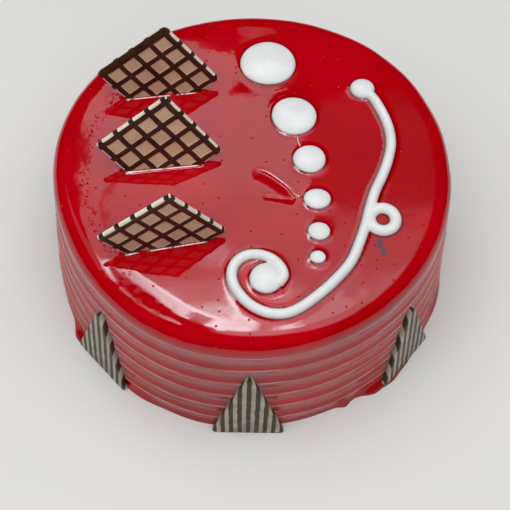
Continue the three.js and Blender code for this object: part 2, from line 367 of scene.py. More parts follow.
dot_low, dot_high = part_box("cream_dot_1")
AXIS = np.array([(dot_low.x + dot_high.x) / 2, (dot_low.y + dot_high.y) / 2, 0]) \
    - np.array([DOTS[0][0], DOTS[0][1], 0]) * MM


def row_points(points):
    """Points of the cake in millimetres, as metres in the row's frame."""
    return np.asarray(points, float) * MM + AXIS


def smoothstep(low, high, value):
    t = np.clip((value - low) / (high - low), 0, 1)
    return t * t * (3 - 2 * t)


# --- Meshes ---

def mesh_object(name, points, faces, smooth=True):
    mesh = bpy.data.meshes.new(name)
    mesh.from_pydata(np.asarray(points).tolist(), [], faces)
    mesh.polygons.foreach_set("use_smooth", [smooth] * len(mesh.polygons))
    mesh.update()
    made = bpy.data.objects.new(name, mesh)
    bpy.context.scene.collection.objects.link(made)
    return made


def paint_points(piece, name, red, green, blue):
    """Stores three values for each point of a piece, as the colour attribute of that name."""
    layer = piece.data.color_attributes.new(name, "FLOAT_COLOR", "POINT")
    layer.data.foreach_set("color", np.stack([red, green, blue, np.ones(len(red))], -1).ravel())


def tube_faces(rows, columns):
    """Quads between closed rings, whose points are stored ring by ring."""
    row, column = np.meshgrid(np.arange(rows - 1), np.arange(columns), indexing="ij")
    a = row * columns + column
    b = row * columns + (column + 1) % columns
    return np.stack([a, b, b + columns, a + columns], -1).reshape(-1, 4).tolist()


def capped_rings(rings, low_centre, high_centre):
    """Points and faces of a closed solid made of rings, each counterclockwise, from the lowest up."""
    rows, columns = len(rings), len(rings[0])
    points = np.vstack([np.concatenate(rings), [low_centre], [high_centre]])
    faces = tube_faces(rows, columns)
    low, high, last = rows * columns, rows * columns + 1, (rows - 1) * columns
    for i in range(columns):
        j = (i + 1) % columns
        faces.append([low, j, i])
        faces.append([high, last + i, last + j])
    return points, faces


def apply_modifiers(piece):
    graph = bpy.context.evaluated_depsgraph_get()
    done = bpy.data.meshes.new_from_object(piece.evaluated_get(graph))
    piece.modifiers.clear()
    piece.data = done


def value_noise(seed, size, x, y, shift=500, cells=256):
    """Smooth noise from -1 to 1 with features about size across; the shift keeps its grid positive."""
    draw = np.random.default_rng(seed).uniform(-1, 1, (cells, cells))
    u, v = (x + shift) / size, (y + shift) / size
    i, j = np.floor(u).astype(int), np.floor(v).astype(int)
    fu, fv = smoothstep(0, 1, u - i), smoothstep(0, 1, v - j)

    def corner(di, dj):
        return draw[(i + di) % cells, (j + dj) % cells]

    near = corner(0, 0) * (1 - fu) + corner(1, 0) * fu
    far = corner(0, 1) * (1 - fu) + corner(1, 1) * fu
    return near * (1 - fv) + far * fv


# --- Materials ---

class Nodes:
    """A material's nodes, made and linked by short calls."""

    def __init__(self, name):
        self.material = bpy.data.materials.new(name)
        self.material.use_nodes = True
        self.tree = self.material.node_tree
        self.shader = self.tree.nodes["Principled BSDF"]
        self.coordinates = self.new("TexCoord").outputs["Object"]

    def new(self, kind):
        return self.tree.nodes.new(f"ShaderNode{kind}")

    def put(self, socket, value):
        if isinstance(value, bpy.types.NodeSocket):
            self.tree.links.new(value, socket)
        else:
            socket.default_value = value

    def math(self, operation, *values):
        node = self.new("Math")
        node.operation = operation
        for socket, value in zip(node.inputs, values):
            self.put(socket, value)
        return node.outputs[0]

    def plus(self, first, *others):
        for other in others:
            first = self.math("ADD", first, other)
        return first

    def minus(self, first, second):
        return self.math("SUBTRACT", first, second)

    def times(self, first, *others):
        for other in others:
            first = self.math("MULTIPLY", first, other)
        return first

    def axis(self, name):
        node = self.new("SeparateXYZ")
        self.put(node.inputs[0], self.coordinates)
        return node.outputs[name]

    def channels(self, color):
        node = self.new("SeparateColor")
        self.put(node.inputs[0], color)
        return node.outputs

    def attribute(self, name):
        node = self.new("Attribute")
        node.attribute_name = name
        return self.channels(node.outputs["Color"])

    def noise(self, scale, detail, stretch=(1, 1, 1), roughness=0.5):
        mapping = self.new("Mapping")
        mapping.inputs["Scale"].default_value = stretch
        self.put(mapping.inputs["Vector"], self.coordinates)
        node = self.new("TexNoise")
        self.put(node.inputs["Vector"], mapping.outputs[0])
        node.inputs["Scale"].default_value = scale
        node.inputs["Detail"].default_value = detail
        node.inputs["Roughness"].default_value = roughness
        return node.outputs["Fac"]

    def ramp(self, value, low, high, to_low=0.0, to_high=1.0):
        node = self.new("MapRange")
        node.interpolation_type = "SMOOTHSTEP"
        for socket, number in zip(node.inputs, (value, low, high, to_low, to_high)):
            self.put(socket, number)
        return node.outputs[0]

    def tones(self, scale, detail):
        """Soft patches, for the mix of a material's two tones."""
        return self.ramp(self.noise(scale, detail), *TONE_EDGE)

    def mix(self, factor, first, second):
        node = self.new("Mix")
        node.data_type = "RGBA"
        self.put(node.inputs[0], factor)
        self.put(node.inputs[6], first)
        self.put(node.inputs[7], second)
        return node.outputs[2]

    def bump(self, height, distance, strength=1.0):
        """Adds relief, with its distance in metres, to what the surface already has."""
        node = self.new("Bump")
        node.inputs["Strength"].default_value = strength
        node.inputs["Distance"].default_value = distance
        self.put(node.inputs["Height"], height)
        if self.shader.inputs["Normal"].links:
            self.put(node.inputs["Normal"], self.shader.inputs["Normal"].links[0].from_socket)
        self.put(self.shader.inputs["Normal"], node.outputs[0])

    def finish(self, **values):
        for name, value in values.items():
            self.put(self.shader.inputs[name.replace("_", " ")], value)
        return self.material


def smudged(nodes, glaze):
    """The glaze under the grey smudge's ragged lobes."""
    for middle_x, middle_y, size in SMUDGE:
        from_x = nodes.minus(nodes.axis("X"), middle_x * MM + float(AXIS[0]))
        from_y = nodes.minus(nodes.axis("Y"), middle_y * MM + float(AXIS[1]))
        u = nodes.times(from_x, 1 / (size * MM))
        v = nodes.times(from_y, SMUDGE_Y_SHARE / (size * MM))
        away = nodes.plus(nodes.times(u, u), nodes.times(v, v))
        ragged = nodes.plus(away, nodes.times(nodes.noise(*SMUDGE_GRAIN), SMUDGE_RAGGED))
        glaze = nodes.mix(nodes.ramp(ragged, *SMUDGE_EDGE), glaze, SMUDGE_GREY)
    return glaze


def painted_glinting(nodes, glaze, x, y):
    """The glaze with a broken white glint, a painted highlight, along the front foot of each lattice square.
    """
    broken = nodes.ramp(nodes.noise(*GLINT_BREAKS), *GLINT_BREAK_EDGE)
    for _, *place in SQUARES:
        (x0, y0), (x1, y1) = sorted(contact_line(*place))
        length = math.hypot(x1 - x0, y1 - y0)
        tx, ty = (x1 - x0) / length, (y1 - y0) / length
        start = x0 * tx + y0 * ty
        end = start + length
        along = nodes.plus(nodes.times(x, tx), nodes.times(y, ty))
        across = nodes.minus(nodes.times(x, ty), nodes.times(y, tx))
        off = nodes.math("ABSOLUTE", nodes.minus(across, x0 * ty - y0 * tx + GLINT_SHIFT))
        narrowing = [start + reach for reach in GLINT_NARROWING]
        width = nodes.ramp(along, *narrowing, 1.0, GLINT_NARROWEST)
        glint = nodes.times(nodes.ramp(nodes.math("DIVIDE", off, width), *GLINT_EDGE),
                            nodes.ramp(along, *(start + reach for reach in GLINT_START)),
                            nodes.ramp(along, *(end + reach for reach in GLINT_END)))
        glaze = nodes.mix(nodes.times(glint, broken), glaze, PAINTED_GLINT_WHITE)
    return glaze


def pits(nodes):
    """1 in the small pits of the glaze and 0 elsewhere."""
    cells = nodes.new("TexVoronoi")
    nodes.put(cells.inputs["Vector"], nodes.coordinates)
    cells.voronoi_dimensions = "2D"
    cells.inputs["Scale"].default_value = 1 / (PIT_SPACING * MM)
    chosen = nodes.math("GREATER_THAN", nodes.channels(cells.outputs["Color"])["Red"], PITS_LEFT_OUT)
    return nodes.times(nodes.ramp(cells.outputs["Distance"], *PIT_EDGE, 1.0, 0.0), chosen)


def bubbles(nodes, x, y):
    """1 in the band of bubbles and 0 elsewhere."""
    radius = nodes.math("SQRT", nodes.plus(nodes.times(x, x), nodes.times(y, y)))
    off = nodes.math("ABSOLUTE", nodes.minus(radius, BUBBLE_RADIUS))
    band = nodes.times(nodes.ramp(off, *BUBBLE_EDGE), nodes.ramp(x, *BUBBLE_START))
    return nodes.times(nodes.ramp(nodes.noise(*BUBBLES), *BUBBLE_PATCH_EDGE), band)


def ledge_lined(nodes, wall):
    """The wall with painted highlight and shade lines along each ledge's edge, broken up by noise."""
    height = nodes.times(nodes.axis("Z"), 1 / MM)
    broken_up = nodes.ramp(nodes.noise(*LEDGE_LINE_BREAKS), *LEDGE_LINE_BREAK_EDGE)
    for above, half_width, strength, color in LEDGE_LINES:
        from_edge = nodes.plus(height, PITCHES_BELOW * LEDGE_PITCH - SHOULDER_HEIGHT - above)
        off = nodes.math("PINGPONG", from_edge, LEDGE_PITCH / 2)
        line = nodes.times(nodes.ramp(off, half_width, LEDGE_LINE_CORE),
                           nodes.ramp(broken_up, 0, 1, LEDGE_LINE_FAINTEST, 1))
        wall = nodes.mix(nodes.times(line, strength), wall, color)
    return wall


def glaze_material():
    nodes = Nodes("red_mirror_glaze")
    x, y = (nodes.times(nodes.minus(nodes.axis(name), float(AXIS[i])), 1 / MM)
            for i, name in enumerate("XY"))
    on_top = nodes.ramp(nodes.axis("Z"), *(height * MM for height in TOP_COLOR_EDGE))
    nodes.bump(nodes.noise(*STREAKS), *STREAK_RELIEF)
    nodes.bump(nodes.times(pits(nodes), on_top), PIT_RELIEF)
    nodes.bump(nodes.times(bubbles(nodes, x, y), on_top), BUBBLE_RELIEF)
    patches = nodes.ramp(nodes.noise(*PATCHES), *PATCH_EDGE)
    top = smudged(nodes, nodes.mix(patches, *GLAZE_TOP))
    # Painted shade: the glaze darkened round the foot of the piped cream
    top = nodes.mix(nodes.attribute("shade")["Red"], top, GLAZE_PAINTED_SHADE)
    # Painted highlight along the front foot of each square
    top = painted_glinting(nodes, top, x, y)
    wall = ledge_lined(nodes, nodes.mix(patches, *GLAZE_WALL))
    roughness = nodes.ramp(nodes.axis("Z"), *(height * MM for height in TOP_SHINE_EDGE),
                           WALL_ROUGHNESS, TOP_ROUGHNESS)
    return nodes.finish(Base_Color=nodes.mix(on_top, wall, top), Roughness=roughness, IOR=1.5)


def cream_material():
    nodes = Nodes("white_piped_cream")
    nodes.bump(nodes.noise(*CREAM_GRAIN), *GRAIN_RELIEF)
    color = nodes.mix(nodes.tones(120, 3), *CREAM_WHITE)
    return nodes.finish(Base_Color=color, Roughness=0.33, IOR=1.4)


def lattice_material():
    nodes = Nodes("lattice_chocolate")
    parts = nodes.attribute("parts")
    dark = nodes.ramp(parts["Red"], *BAR_COLOR_EDGE)
    edge = nodes.ramp(parts["Green"], *PALE_COLOR_EDGE)
    tone = nodes.tones(90, 4)
    cell, cream, bar = (nodes.mix(tone, *pair) for pair in (LATTICE_CELL, LATTICE_EDGE, LATTICE_BAR))
    nodes.bump(nodes.noise(*LATTICE_GRAIN), *GRAIN_RELIEF)
    color = nodes.mix(dark, nodes.mix(edge, cell, cream), bar)
    return nodes.finish(Base_Color=color, Roughness=0.38, IOR=1.45)


def striped_material():
    """Upright stripes that fan out a little with height and are carried round the sides."""
    nodes = Nodes("striped_chocolate")
    x, y, z = (nodes.times(nodes.axis(name), 1 / MM) for name in "XYZ")
    fan = nodes.times(x, z, STRIPE_FAN)
    behind = nodes.math("MAXIMUM", nodes.plus(y, TRIANGLE_THICKNESS - STRIPE_TURN_DEPTH), 0.0)
    around = nodes.times(nodes.math("SIGN", x), behind, STRIPE_SIDE_SHARE)
    wobble = nodes.times(nodes.minus(nodes.noise(*STRIPE_WANDER), 0.5), STRIPE_WOBBLE)
    phase = nodes.plus(x, fan, around, wobble, PITCHES_AHEAD * STRIPE_PITCH)
    fold = nodes.math("PINGPONG", phase, STRIPE_PITCH / 2)
    tone = nodes.tones(150, 4)
    dark, light = nodes.mix(tone, *STRIPE_DARK), nodes.mix(tone, *STRIPE_LIGHT)
    nodes.bump(nodes.noise(*STRIPE_GRAIN), *GRAIN_RELIEF)
    return nodes.finish(Base_Color=nodes.mix(nodes.ramp(fold, *STRIPE_EDGE), dark, light),
                        Roughness=0.4, IOR=1.45, Specular_IOR_Level=0.2)


# --- Distances on the cake's top ---

def spline_points(path, steps=12):
    """A Catmull-Rom curve through the points of a path, with so many steps between each two."""
    path = np.asarray(path, float)
    padded = np.vstack([2 * path[0] - path[1], path, 2 * path[-1] - path[-2]])
    t = (np.arange(steps) / steps)[:, None]
    parts = []
    for a, b, c, d in zip(padded, padded[1:], padded[2:], padded[3:]):
        parts.append(0.5 * (2 * b + (c - a) * t + (2 * a - 5 * b + 4 * c - d) * t ** 2
                            + (3 * b - a - 3 * c + d) * t ** 3))
    return np.vstack([*parts, path[-1:]])


def distance_to_line(x, y, line):
    """Distance from each point to a line of points."""
    best = np.full(x.shape, np.inf)
    for (ax, ay), (bx, by) in zip(line, line[1:]):
        dx, dy = bx - ax, by - ay
        t = np.clip(((x - ax) * dx + (y - ay) * dy) / (dx * dx + dy * dy), 0, 1)
        best = np.minimum(best, np.hypot(x - ax - t * dx, y - ay - t * dy))
    return best


def distance_to_dot(x, y, dot):
    """Distance from each point to the rim of a dot, negative inside it."""
    middle_x, middle_y, width, depth = dot[:4]
    radius = (width + depth) / 4
    return (np.hypot((x - middle_x) / width, (y - middle_y) / depth) * 2 - 1) * radius


SCROLL_LINE = spline_points(SCROLL_PATH)
DOMES = [*DOTS, SCROLL_START, SCROLL_END]


# --- Cake ---

def outline_scale(angle):
    swell = sum(size * np.cos(lobes * angle - math.radians(phase)) for lobes, size, phase in OUTLINE_WAVES)
    return 1 + swell / SHOULDER_RADIUS


def wall_radius(height):
    """The wall's radius: straight between the ledges' edges, hollowed below each one."""
    below = SHOULDER_HEIGHT - height
    turn = below / LEDGE_PITCH
    phase = turn - np.floor(turn)
    return SHOULDER_RADIUS + WALL_TAPER * below - LEDGE_DEPTH * np.sin(math.pi * phase ** LEDGE_SKEW)


def cake_profile():
    """Radii and heights of the cake's rings, from the foot over the rim to the middle of the top."""
    below = [(ledge + row) * LEDGE_PITCH for ledge in range(LEDGE_COUNT) for row in LEDGE_ROWS]
    wall_z = SHOULDER_HEIGHT - np.array([0, *below])
    wall_z = np.append(wall_z[wall_z > FOOT_CLEAR_HEIGHT], 0)[::-1]
    wall_r = wall_radius(wall_z)
    reach = np.sin(np.linspace(math.pi / 2, 0, RIM_ROWS))[1:]
    across, up = RIM_POWERS
    rim_r = SHOULDER_RADIUS - RIM_WIDTH * (1 - reach)
    rim_z = SHOULDER_HEIGHT + (CAKE_HEIGHT - SHOULDER_HEIGHT) * (1 - reach ** across) ** (1 / up)
    ends = [start for start, _ in TOP_SPANS[1:]] + [0]
    top_r = np.concatenate([np.linspace(start, end, rows, endpoint=False)
                            for (start, rows), end in zip(TOP_SPANS, ends)])[1:]
    radius = np.concatenate([wall_r, rim_r, top_r])
    height = np.concatenate([wall_z, rim_z, np.full(len(top_r), CAKE_HEIGHT)])
    return radius, height


def square_turn(lean, turn, tilt):
    return (Matrix.Rotation(math.radians(turn), 3, "Z") @ Matrix.Rotation(-math.radians(lean), 3, "X")
            @ Matrix.Rotation(math.radians(45 + tilt), 3, "Y"))


def contact_line(centre, lean, turn, tilt):
    """Where the front of a square meets the top: two points on the cake."""
    half, rotation = SQUARE_SIDE / 2, square_turn(lean, turn, tilt)
    corners = [Vector(centre) + rotation @ Vector((right * half, -SQUARE_THICKNESS / 2, up * half))
               for right, up in ((-1, -1), (1, -1), (1, 1), (-1, 1))]
    ends = []
    for a, b in zip(corners, corners[1:] + corners[:1]):
        if (a.z - CAKE_HEIGHT) * (b.z - CAKE_HEIGHT) < 0:
            point = a.lerp(b, (CAKE_HEIGHT - a.z) / (b.z - a.z))
            ends.append((point.x, point.y))
    return ends


def swells(layers, x, y):
    return sum(rise * value_noise(seed, size, x, y) for seed, rise, size in layers)


def climb(distance, rise, reach):
    return rise * np.exp(-distance / reach)


def fold_drop(x, y, path, depth, behind, before):
    """How far the top is pressed down by a fold: a slope and a steep bit behind, a hollow in front."""
    line = spline_points(path, 6)
    side = smoothstep(-FOLD_EDGE, FOLD_EDGE, y - np.interp(x, line[:, 0], line[:, 1]))
    d = distance_to_line(x, y, line)
    bend = np.log1p(np.exp(np.clip((behind - d) / FOLD_SOFTNESS, -30, 30)))
    slope = FOLD_SLOPE * FOLD_SOFTNESS * bend
    steep = (depth - FOLD_SLOPE * behind) * np.exp(-(d / FOLD_EDGE) ** 2)
    hollow = depth * np.exp(-(d / before) ** 2)
    return side * (slope + steep) + (1 - side) * hollow


def front_ripples(x, y, azimuth):
    seed, rise, size = FRONT_RIPPLES
    near_rim = smoothstep(*FRONT_RIPPLE_RADII, np.hypot(x, y))
    beside = smoothstep(*FRONT_RIPPLE_SPREAD, np.abs(azimuth - FRONT_RIPPLE_MIDDLE))
    return rise * (near_rim * (1 - beside)) * value_noise(seed, size, x, y)


def ridge_drop(radius, azimuth):
    """How far the glaze lies below the ridge's crest, outside it."""
    crest, step, foot = (np.interp(azimuth, [row[0] for row in RIDGE], [row[i] for row in RIDGE])
                         for i in (1, 2, 3))
    ragged = swells([RIDGE_RAGGED], radius, azimuth * 1.5)
    drop = RIDGE_SLOPE * np.clip(radius - crest - ragged / 2, 0, step - crest)
    drop = drop + STEP_SLOPE * np.clip(radius - step - ragged, 0, foot - step)
    return drop * smoothstep(*RIDGE_START, azimuth) * (1 - smoothstep(*RIDGE_END, azimuth))


def top_relief(x, y):
    """How far the glaze on the top stands above its plane."""
    relief = swells(TOP_SWELLS, x, y)
    for dot in DOMES:
        relief = relief + climb(np.maximum(distance_to_dot(x, y, dot), 0), *DOT_CLIMB)
    from_line = np.maximum(distance_to_line(x, y, SCROLL_LINE) - LINE_WIDTH / 2, 0)
    relief = relief + climb(from_line, *LINE_CLIMB)
    for _, *place in SQUARES:
        relief = relief + climb(distance_to_line(x, y, contact_line(*place)), *SQUARE_CLIMB)
    for fold in FOLDS:
        relief = relief - fold_drop(x, y, *fold)
    azimuth = np.degrees(np.arctan2(x, -y))
    relief = relief + front_ripples(x, y, azimuth)
    return relief - ridge_drop(np.hypot(x, y), azimuth)


def cream_painted_shade(x, y):
    """How far painted shade darkens the glaze: most at the foot of the piped cream, and 0 a little way off.
    """
    d = distance_to_line(x, y, SCROLL_LINE) - LINE_WIDTH / 2
    for dot in DOMES:
        d = np.minimum(d, distance_to_dot(x, y, dot))
    ring_x, ring_y, ring_radius = RING
    from_ring = np.abs(np.hypot(x - ring_x, y - ring_y) - ring_radius) - RING_LINE_WIDTH / 2
    d = np.minimum(d, from_ring)
    return CREAM_SHADE * np.exp(-(np.maximum(d, 0) / CREAM_SHADE_REACH) ** 2)


def foot_pool(azimuth):
    """How far the glaze has run out at the foot of the wall."""
    pool = SKIRT_REACH + swells([SKIRT_RAGGED], azimuth, np.zeros_like(azimuth))
    for middle, spread, reach in FOOT_POOLS:
        pool = pool + reach * np.exp(-((azimuth - middle) / spread) ** 2)
    return pool


def cake_skin():
    """The cake's points, ring by ring and each counterclockwise, with the glaze's unevenness."""
    radius, height = cake_profile()
    theta = np.arange(CAKE_COLUMNS) * 2 * math.pi / CAKE_COLUMNS
    scale = outline_scale(theta)[None, :]
    x = radius[:, None] * scale * np.cos(theta)
    y = radius[:, None] * scale * np.sin(theta)
    z = np.repeat(height[:, None], CAKE_COLUMNS, 1)
    azimuth = (np.degrees(theta + math.pi / 2) + 180) % 360 - 180
    pool = foot_pool(azimuth)[None, :] * np.exp(-(z / SKIRT_HEIGHT) ** 2)
    x, y = x + pool * np.cos(theta), y + pool * np.sin(theta)
    lumps = swells(WALL_LUMPS, x, y + z)
    outer = smoothstep(*WALL_LUMP_RADII, radius)[:, None] * smoothstep(*WALL_LUMP_HEIGHTS, z)
    swell = 1 - WALL_INSET * outer + lumps * outer / SHOULDER_RADIUS
    x, y = x * swell, y * swell
    return x, y, z + smoothstep(SHOULDER_HEIGHT, CAKE_HEIGHT, z) * top_relief(x, y)


def make_cake(material):
    x, y, z = cake_skin()
    rings = list(np.stack([x, y, z], -1))
    points, faces = capped_rings(rings, (0, 0, 0), (0, 0, rings[-1][:, 2].mean()))
    cake = mesh_object("glazed_cake", row_points(points), faces)
    cake.data.materials.append(material)
    # The painted shade round the cream's foot, kept as a colour attribute on the cake
    shade = np.append(cream_painted_shade(x, y) * (z > CAKE_HEIGHT - CREAM_SHADE_DEPTH), [0, 0])
    paint_points(cake, "shade", shade, shade, shade)
    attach(cake, "root")
    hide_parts("cake_body")


# --- Cream ---

def dome(dot, sides=72, rows=22):
    """A low piped dome with a rounded edge and a small peak, its foot sunk into the glaze."""
    x, y, width, depth, height, peak = dot
    across, upright = DOME_POWERS
    angle = np.arange(sides) * 2 * math.pi / sides
    wave = 1 + DOT_WAVES[0] * np.sin(2 * angle + x) + DOT_WAVES[1] * np.sin(3 * angle + y)
    rings = [np.stack([wave * np.cos(angle), wave * np.sin(angle), np.full(sides, -CREAM_SINK)], -1)]
    for row in range(rows):
        t = math.pi / 2 * row / rows
        reach = math.cos(t) ** across
        up = height * math.sin(t) ** upright + peak * math.exp(-(reach * width / 2 / PEAK_REACH) ** 2)
        rings.append(np.stack([reach * wave * np.cos(angle), reach * wave * np.sin(angle),
                               np.full(sides, up)], -1))
    points, faces = capped_rings(rings, (0, 0, -CREAM_SINK), (0, 0, height + peak))
    return points * (width / 2, depth / 2, 1) + (x, y, CAKE_HEIGHT), faces


def sweep(line, width, height, sides=20, sink=CREAM_SINK):
    """A piped line along level points, with its ends closed flat."""
    line = np.asarray(line)
    tangent = np.gradient(line, axis=0)
    tangent /= np.linalg.norm(tangent, axis=1)[:, None]
    across = np.stack([tangent[:, 1], -tangent[:, 0]], -1)
    angle = np.arange(sides) * 2 * math.pi / sides
    side = width / 2 * np.cos(angle)
    up = np.where(np.sin(angle) > 0, height, sink) * np.sin(angle)
    rings = [np.stack([px + ax * side, py + ay * side, CAKE_HEIGHT + up], -1)
             for (px, py), (ax, ay) in zip(line, across)]
    return capped_rings(rings, rings[0].mean(0), rings[-1].mean(0))


def make_dots(material):
    for i, dot in enumerate(DOTS, 1):
        points, faces = dome(dot)
        piece = mesh_object(f"piped_dot_{i}", row_points(points), faces)
        piece.data.materials.append(material)
        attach(piece, "root")
        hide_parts(f"cream_dot_{i}")


def make_thread(material):
    """A hair of cream that was drawn out between two dots."""
    line = spline_points(THREAD_PATH)
    points, faces = sweep(line, THREAD_WIDTH, THREAD_HEIGHT, sides=8, sink=THREAD_SINK)
    thread = mesh_object("piped_thread", row_points(points), faces)
    thread.data.materials.append(material)
    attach(thread, "root")


def scroll_strokes():
    """The scroll's line, its ring and its two blobs, as the points and faces of one mesh."""
    ring_x, ring_y, ring_radius = RING
    turn = np.linspace(0, 2 * math.pi, 60)
    ring = np.stack([ring_x + ring_radius * np.cos(turn), ring_y + ring_radius * np.sin(turn)], -1)
    strokes = [sweep(SCROLL_LINE, LINE_WIDTH, LINE_HEIGHT), sweep(ring, RING_LINE_WIDTH, LINE_HEIGHT),
               dome(SCROLL_START), dome(SCROLL_END)]
    faces, start = [], 0
    for stroke_points, stroke_faces in strokes:
        faces += [[i + start for i in face] for face in stroke_faces]
        start += len(stroke_points)
    return np.vstack([stroke_points for stroke_points, _ in strokes]), faces


def make_scroll(material):
    """The scroll, its strokes run together into one skin."""
    points, faces = scroll_strokes()
    scroll = mesh_object("piped_scroll", row_points(points), faces)
    remesh = scroll.modifiers.new("one_skin", "REMESH")
    remesh.mode = "VOXEL"
    remesh.voxel_size = SCROLL_GRAIN * MM
    remesh.use_smooth_shade = True
    soften = scroll.modifiers.new("soft", "SMOOTH")
    soften.factor = 0.5
    soften.iterations = 6
    apply_modifiers(scroll)
    scroll.data.materials.append(material)
    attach(scroll, "root")
    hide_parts("cream_scroll")


# --- Lattice squares ---

def bar_mask(x, z):
    """1 on the lattice's bars and 0 between them, with slightly uneven sides."""
    def from_bar(value, seed):
        wander = BAR_WANDER * value_noise(seed, BAR_WANDER_SIZE, x, z, shift=90)
        bar = np.clip(np.round(value / BAR_SPACING), -(BAR_COUNT // 2), BAR_COUNT // 2)
        return np.abs(value + wander - bar * BAR_SPACING)

    edge = BAR_WIDTH / 2 - BAR_BLUR, BAR_WIDTH / 2 + BAR_BLUR
    return 1 - smoothstep(*edge, np.minimum(from_bar(x, 11), from_bar(z, 12)))


def side_rings(x, z, mask):
    """Rings of points round the sides of a square, through the border points of its front."""
    half = SQUARE_SIDE / 2
    outward_x, outward_z = (np.where(np.abs(value) > half - 0.01, np.sign(value), 0) for value in (x, z))
    to_corner = half - np.minimum(np.abs(x), np.abs(z))
    swell = (SIDE_SWELL + BAR_RISE * mask * SIDE_BAR_SHARE) * smoothstep(*CORNER_EDGE, to_corner)
    return [np.stack([x + outward_x * swell, np.full(len(x), depth * SQUARE_THICKNESS / 2),
                      z + outward_z * swell], -1) for depth in SIDE_DEPTHS]


def square_faces(index, border):
    """Quads over the front and the back grid of a square, and round its sides between them."""
    a, b, c, d = index[:-1, :-1], index[1:, :-1], index[1:, 1:], index[:-1, 1:]
    quads = np.stack([a, b, c, d], -1).reshape(-1, 4)
    faces = quads.tolist() + (quads[:, ::-1] + index.size).tolist()
    rings = 2 * index.size + np.arange(len(SIDE_DEPTHS) * len(border)).reshape(-1, len(border))
    loops = [border, *rings, border + index.size]
    for upper, lower in zip(loops, loops[1:]):
        faces += np.stack([upper, lower, np.roll(lower, -1), np.roll(upper, -1)], -1).tolist()
    return faces


def square_mesh(name, dark_side):
    """A square with the lattice on its front; a dark side has a bar along its very edge."""
    half, face = SQUARE_SIDE / 2, SQUARE_THICKNESS / 2
    line = np.linspace(-half, half, SQUARE_GRID)
    x, z = np.meshgrid(line, line, indexing="ij")
    lattice = bar_mask(x, z)
    mask = np.maximum(lattice, x < DARK_SIDE_WIDTH - half) if dark_side else lattice
    from_edge = half - np.maximum(np.abs(x), np.abs(z))
    round_off = EDGE_ROUND * (1 - smoothstep(0, 2 * EDGE_ROUND, from_edge))
    front = np.stack([x, -face - BAR_RISE * mask + round_off, z], -1).reshape(-1, 3)
    back = np.stack([x, face - round_off, z], -1).reshape(-1, 3)
    index = np.arange(x.size).reshape(x.shape)
    border = np.concatenate([index[:-1, 0], index[-1, :-1], index[:0:-1, -1], index[0, :0:-1]])
    side_mask, rear_mask = mask.ravel()[border], lattice.ravel()[border]
    sides = side_rings(x.ravel()[border], z.ravel()[border], side_mask)
    piece = mesh_object(name, np.vstack([front, back, *sides]) * MM, square_faces(index, border))
    dark = np.concatenate([mask.ravel(), mask.ravel() * BAR_BACK_SHARE,
                           side_mask, side_mask, rear_mask, rear_mask])
    pale_edge = np.ones(len(dark))
    pale_edge[:x.size] = 1 - smoothstep(*PALE_EDGE, from_edge).ravel()
    paint_points(piece, "parts", dark, pale_edge, np.zeros(len(dark)))
    return piece


def placing(location, rotation):
    return Matrix.Translation(Vector(row_points(location))) @ rotation.to_4x4()


def make_squares(material):
    for name, centre, lean, turn, tilt in SQUARES:
        piece = square_mesh(f"lattice_plate_{name}", dark_side=name == "back")
        piece.data.transform(placing(centre, square_turn(lean, turn, tilt)))
        piece.data.materials.append(material)
        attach(piece, "root")
        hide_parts(f"lattice_square_{name}")


# --- Striped triangles ---

def unit(vector):
    return vector / np.linalg.norm(vector)


def rounded_corner(corner, before, after, steps=6):
    """An arc round a corner, between the directions to the corners before and after it."""
    bend = math.acos(np.clip(before @ after, -1, 1))
    middle = corner + unit(before + after) * TRIANGLE_CORNER / math.sin(bend / 2)
    start = corner + before * TRIANGLE_CORNER / math.tan(bend / 2) - middle
    first = math.atan2(start[1], start[0])
    angles = [first + (math.pi - bend) * step / steps for step in range(steps + 1)]
    return [middle + TRIANGLE_CORNER * np.array([math.cos(a), math.sin(a)]) for a in angles]


def triangle_outline(side_steps=24):
    """The triangle's outline with rounded corners, counterclockwise seen from its front."""
    corners = [np.array(point, float) for point in
               ((-TRIANGLE_BASE / 2, 0), (TRIANGLE_BASE / 2, 0), (0, TRIANGLE_HEIGHT))]
    arcs = [rounded_corner(corner, unit(corners[i - 1] - corner), unit(corners[(i + 1) % 3] - corner))
            for i, corner in enumerate(corners)]
    outline = []
    for arc, following in zip(arcs, arcs[1:] + arcs[:1]):
        outline += arc
        outline += [arc[-1] + (following[0] - arc[-1]) * step / side_steps for step in range(1, side_steps)]
    return np.array(outline)


def triangle_profile(edge_steps=6):
    """Rings of a triangle from its back to its gently bulging front: inset and depth of each."""
    profile = [(inset, TRIANGLE_BACK - before) for inset, before in TRIANGLE_BACK_RINGS]
    for step in range(edge_steps + 1):
        a = math.pi / 2 * step / edge_steps
        profile.append((TRIANGLE_EDGE * (1 - math.cos(a)),
                        TRIANGLE_EDGE - TRIANGLE_FRONT - TRIANGLE_EDGE * math.sin(a)))
    return profile + [(inset, -TRIANGLE_FRONT - bulge) for inset, bulge in TRIANGLE_BULGE_RINGS]


def triangle_solid():
    """Points and faces of an upright triangle with its foot on z = 0, facing the front."""
    outline = triangle_outline()
    half = TRIANGLE_BASE / 2
    reach = half * TRIANGLE_HEIGHT / math.hypot(half, TRIANGLE_HEIGHT)
    rings = []
    for inset, depth in triangle_profile():
        ring = outline * (reach - inset) / reach
        rings.append(np.stack([ring[:, 0], np.full(len(ring), depth), ring[:, 1]], -1))
    return capped_rings(rings, (0, TRIANGLE_BACK, reach), (0, -TRIANGLE_FRONT - TRIANGLE_BULGE, reach))


